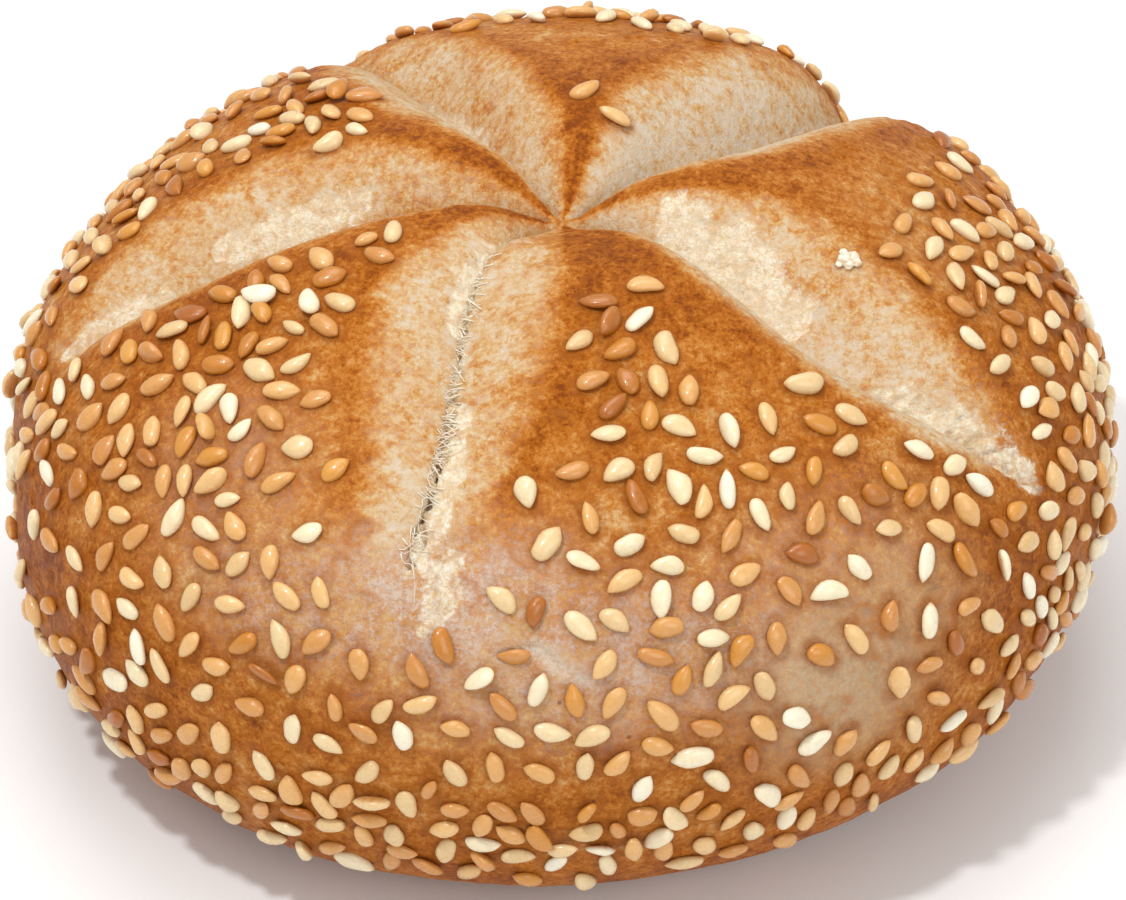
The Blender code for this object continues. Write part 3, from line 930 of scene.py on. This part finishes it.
# Each kind: its slot, its colours, the brown of its tip that also serves as painted shade low on its sides, and
# its roughness
SEED_KINDS = (
    ("sesame_cream", CREAM, (0.58, 0.25, 0.05), 0.28),
    ("sesame_golden", GOLDEN, (0.44, 0.14, 0.02), 0.28),
    ("sesame_toasted", TOASTED, (0.26, 0.06, 0.008), 0.32),
)


STRAND_COLOURS = ((0.35, (0.70, 0.54, 0.35)), (0.5, (0.80, 0.70, 0.54)), (0.65, (0.86, 0.80, 0.69)))


def strand_material():
    """Fine crumb: the strands over the tears and the stuck lump of flour."""
    made, tree, shader = new_material("bread_crumb", CRUMB_SHADER)
    tone = noise_texture(tree, 0.6, 4, 0.6)
    colour = ramp(tree, tone, STRAND_COLOURS)
    tree.links.new(colour, shader.inputs["Base Color"])
    tree.links.new(step(tree, tone, 0.3, 0.7, 0.6, 0.85), shader.inputs["Roughness"])
    return made


def build_crust(points, facts, seeds, offset):
    """The crust's mesh: the shaped rings, a point at the crown and a flat foot."""
    rings, columns = points.shape[:2]
    values = vertex_facts(points, facts, seeds)
    foot = [points[-1] * [share, share, 0] for share in np.linspace(1, 0, FOOT_RINGS + 2)[1:-1]]
    crown = points[0].mean(0)
    verts = np.vstack([points.reshape(-1, 3), *foot, crown[None], [[0, 0, 0]]])
    faces = ring_faces(rings + FOOT_RINGS, columns)
    tip = (rings + FOOT_RINGS) * columns
    faces += fan_faces(0, columns, tip, True)
    faces += fan_faces((rings + FOOT_RINGS - 1) * columns, columns, tip + 1, False)
    made = mesh_object("crust", (verts + offset) * MM, faces, crust_material())
    extra = FOOT_RINGS * columns
    values.update(wall=facts["wall_paleness_and_shade"], bare=facts["bare"], pores=facts["pores"], scar=facts["scar"])
    values.update(split=facts["split"])
    at_foot = dict(split=0, scar=0, wall=0, bare=0, pores=0, toast=0.55, flour=0.2, dull=0.2, seed=0)
    for name, grid in values.items():
        tail = np.full(extra + 2, float(at_foot[name]))
        tail[-2] = grid[0].mean()
        store(made.data, name, np.concatenate([grid.reshape(-1), tail]))
    return made


def point_over_cut(cut, reach, offset, height):
    """A point a little over the shaped loaf, offset mm to the left of a cut's floor."""
    fall = np.degrees(np.arcsin(np.clip(reach / ROLL_RADIUS, 0, 1) ** (TOP_FULLNESS / 2)))
    bearing = cut_bearing(cut, reach) + np.degrees(offset / reach)
    here = crust_points(bearing, fall)
    across = crust_points(bearing + 1, fall) - crust_points(bearing - 1, fall)
    down = crust_points(bearing, fall + 1) - crust_points(bearing, fall - 1)
    up = np.cross(down, across)
    return here + up / np.linalg.norm(up, axis=-1, keepdims=True) * np.asarray(height)[..., None]


def strand_tube(path, radii):
    """Rings of a thin tube along a path, as vertices and faces; both ends are closed."""
    heading = np.gradient(path, axis=0)
    heading /= np.linalg.norm(heading, axis=1, keepdims=True) + 1e-9
    side = np.cross(heading, [0.0, 0.0, 1.0])
    side /= np.linalg.norm(side, axis=1, keepdims=True) + 1e-9
    up = np.cross(side, heading)
    turn = 2 * np.pi * np.arange(STRAND_SIDES) / STRAND_SIDES
    ring = side[:, None] * np.cos(turn)[None, :, None] + up[:, None] * np.sin(turn)[None, :, None]
    verts = (path[:, None] + ring * radii[:, None, None]).reshape(-1, 3)
    faces = [f[::-1] for f in ring_faces(len(path), STRAND_SIDES)]
    faces.append(tuple(range(STRAND_SIDES))[::-1])
    faces.append(tuple(range(len(verts) - STRAND_SIDES, len(verts))))
    return verts, faces


def build_strands(plain, facts, offset):
    """Fine strands of torn crumb that bridge the tears, at the height of the skin on either side."""
    chance = np.random.default_rng(SEED + 5)
    near_cuts = np.flatnonzero((np.abs(facts["offset"]) < 4).reshape(-1) & (facts["fall"] < 90).reshape(-1))
    tree = KDTree(len(near_cuts))
    for at in near_cuts:
        tree.insert(plain.reshape(-1, 3)[at], int(at))
    tree.balance()
    skin = facts["skin"].reshape(-1)
    verts, faces, count = [], [], 0
    for tear in (t for t in TEARS if t.rough >= STRANDS_FROM_ROUGHNESS):
        cut = next(c for c in CUTS if c.name == tear.cut)
        for _ in range(int((tear.stop - tear.start) * STRANDS_PER_MM)):
            start = chance.uniform(tear.start + 0.5, tear.stop - 1.5)
            half = tear.width * chance.uniform(0.6, 1.35)
            along = np.linspace(0, 1, STRAND_POINTS)
            reach = start + chance.normal(0, 1.5) * along + 0.25 * np.sin(along * np.pi * chance.uniform(1, 3))
            sideways = tear.side + half * (2 * along - 1) + chance.normal(0, 0.15)
            sag = chance.uniform(-0.15, 0.40) * np.sin(np.pi * along) + 0.05
            number = np.full(STRAND_POINTS, CUTS.index(cut))
            on_loaf = point_over_cut(cut, reach, sideways, np.zeros(STRAND_POINTS))
            skin_here = skin[[tree.find(point)[1] for point in on_loaf.tolist()]]
            height = sag + floor_fill(number, sideways, reach) + skin_here
            path = point_over_cut(cut, reach, sideways, height) + offset
            radii = chance.uniform(0.02, 0.065) * (0.65 + 0.5 * np.abs(2 * along - 1))
            tube_verts, tube_faces = strand_tube(path, radii)
            verts.append(tube_verts)
            faces += [tuple(i + count for i in f) for f in tube_faces]
            count += len(tube_verts)
    made = mesh_object("crumb_strands", np.concatenate(verts) * MM, faces, strand_material())
    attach(made, "root")


def build_flour_lumps(offset):
    """The small crumb of dried flour on the right wall, as bumpy lumps sunk a little into the crust."""
    template = bpy.data.meshes.new("lump")
    shape = bmesh.new()
    bmesh.ops.create_icosphere(shape, subdivisions=3, radius=1.0)
    shape.to_mesh(template)
    shape.free()
    ball = np.array([v.co[:] for v in template.vertices])
    ball_faces = [tuple(f.vertices) for f in template.polygons]
    bpy.data.meshes.remove(template)
    verts, faces = [], []
    for number, (bearing, fall, size) in enumerate(FLOUR_LUMPS):
        bumps = noise_field(ball, 0.55, 20 + number, 2)
        faces += [tuple(i + len(ball) * number for i in f) for f in ball_faces]
        place = crust_points(np.array(float(bearing)), np.array(float(fall)))
        verts.append(place + ball * size * (1 + LUMP_BUMPINESS * bumps)[:, None] * LUMP_FLATNESS)
    made = mesh_object("flour_lump", (np.concatenate(verts) + offset) * MM, faces, strand_material())
    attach(made, "root")


def place_on_part(points):
    """How far the shaped crust moves sideways to lie on the part's own roll."""
    low, high = (np.array(corner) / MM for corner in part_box("roll"))
    own_low, own_high = points.reshape(-1, 3).min(0), points.reshape(-1, 3).max(0)
    offset = (low + high) / 2 - (own_low + own_high) / 2
    return offset * [1, 1, 0]


def build_object():
    slots = {row["node"]: row["material_slot"] for row in frame["record"]["subparts"]}
    plain = crust_points(*crust_grid())
    offset = place_on_part(plain)
    points, facts = shape_crust()
    points[-1, :, 2] = 0
    points[..., 2] = np.maximum(points[..., 2], 0)
    normals = grid_normals(plain)
    seeds = place_seeds(points, normals, facts, offset, slots)
    scars = place_scars(points, facts, normals, seeds)
    dent, ring = scar_shape(points, scars)
    points = points + normals * (SCAR_RIM_HEIGHT * ring - SCAR_DEPTH * dent)[..., None]
    facts["scar"] = ring
    crust = build_crust(points, facts, seeds, offset)
    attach(crust, "root")
    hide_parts("roll")
    build_strands(plain, facts, offset)
    build_flour_lumps(offset)
    moved = [seed._replace(place=seed.place + offset) for seed in seeds]
    for slot, stops, edge, roughness in SEED_KINDS:
        material = seed_material(slot, stops, edge, roughness)
        piece = build_seeds(moved, slot, material, slot.replace("sesame", "seeds"))
        piece.data.transform(Matrix.Scale(MM, 4))
        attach(piece, "root")
        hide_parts(*[node for node, its in slots.items() if its == slot])
    return offset


# The stage: a pale floor, three lamps and the camera

CAMERA_ELEVATION = 39.84
CAMERA_DISTANCE = 0.4185
CAMERA_AIM_HEIGHT = 0.0199
CAMERA_LENS = 140.84
SENSOR_WIDTH = 36
CAMERA_AIM_SIDE = -0.00005

# The light: how strong the room is, then each lamp's name, place, size (m) and power (W)
ROOM_LIGHT = 0.62
LAMP_AIM = Vector((0, 0, 0.02))
FLOOR_HALF_WIDTH = 3.0
LAMPS = (
    ("key", (-0.02, 0.16, 0.55), 0.34, 1.15),
    ("fill", (0.30, -0.5, 0.40), 0.4, 1.2),
    ("glint", (-0.16, -0.14, 0.52), 0.035, 1.15),
)


def stage_material():
    made, tree, shader = new_material("stage_floor", FLOOR_SHADER)
    tone = noise_texture(tree, 60, 2)
    colour = ramp(tree, tone, ((0.3, (0.86, 0.86, 0.86)), (0.7, (0.90, 0.90, 0.90))))
    tree.links.new(colour, shader.inputs["Base Color"])
    return made


def build_stage():
    half = FLOOR_HALF_WIDTH
    corners = np.array([(-half, -half, 0), (half, -half, 0), (half, half, 0), (-half, half, 0)])
    floor = mesh_object("floor", corners, [(0, 1, 2, 3)], stage_material())
    world = bpy.data.worlds.new("studio")
    world.use_nodes = True
    world.node_tree.nodes["Background"].inputs["Color"].default_value = (1.0, 0.99, 0.97, 1)
    world.node_tree.nodes["Background"].inputs["Strength"].default_value = ROOM_LIGHT
    bpy.context.scene.world = world
    for name, place, size, power in LAMPS:
        lamp = bpy.data.lights.new(name, "AREA")
        lamp.size = size
        lamp.energy = power
        lamp_object = bpy.data.objects.new(name, lamp)
        lamp_object.location = place
        lamp_object.rotation_euler = (LAMP_AIM - Vector(place)).to_track_quat("-Z", "Y").to_euler()
        bpy.context.scene.collection.objects.link(lamp_object)


def build_camera(offset):
    camera = bpy.data.cameras.new("camera")
    camera.lens = CAMERA_LENS
    camera.sensor_width = SENSOR_WIDTH
    camera.dof.use_dof = False
    camera.clip_start = 0.01
    camera_object = bpy.data.objects.new("camera", camera)
    elevation = np.radians(CAMERA_ELEVATION)
    aim = Vector((offset[0] * MM + CAMERA_AIM_SIDE, offset[1] * MM, CAMERA_AIM_HEIGHT))
    back = Vector((0, -np.cos(elevation), np.sin(elevation)))
    camera_object.location = aim + back * CAMERA_DISTANCE
    camera_object.rotation_euler = (-back).to_track_quat("-Z", "Y").to_euler()
    bpy.context.scene.collection.objects.link(camera_object)
    bpy.context.scene.camera = camera_object


crust_offset = build_object()
build_stage()
build_camera(crust_offset)
bpy.context.scene.view_settings.view_transform = "Standard"
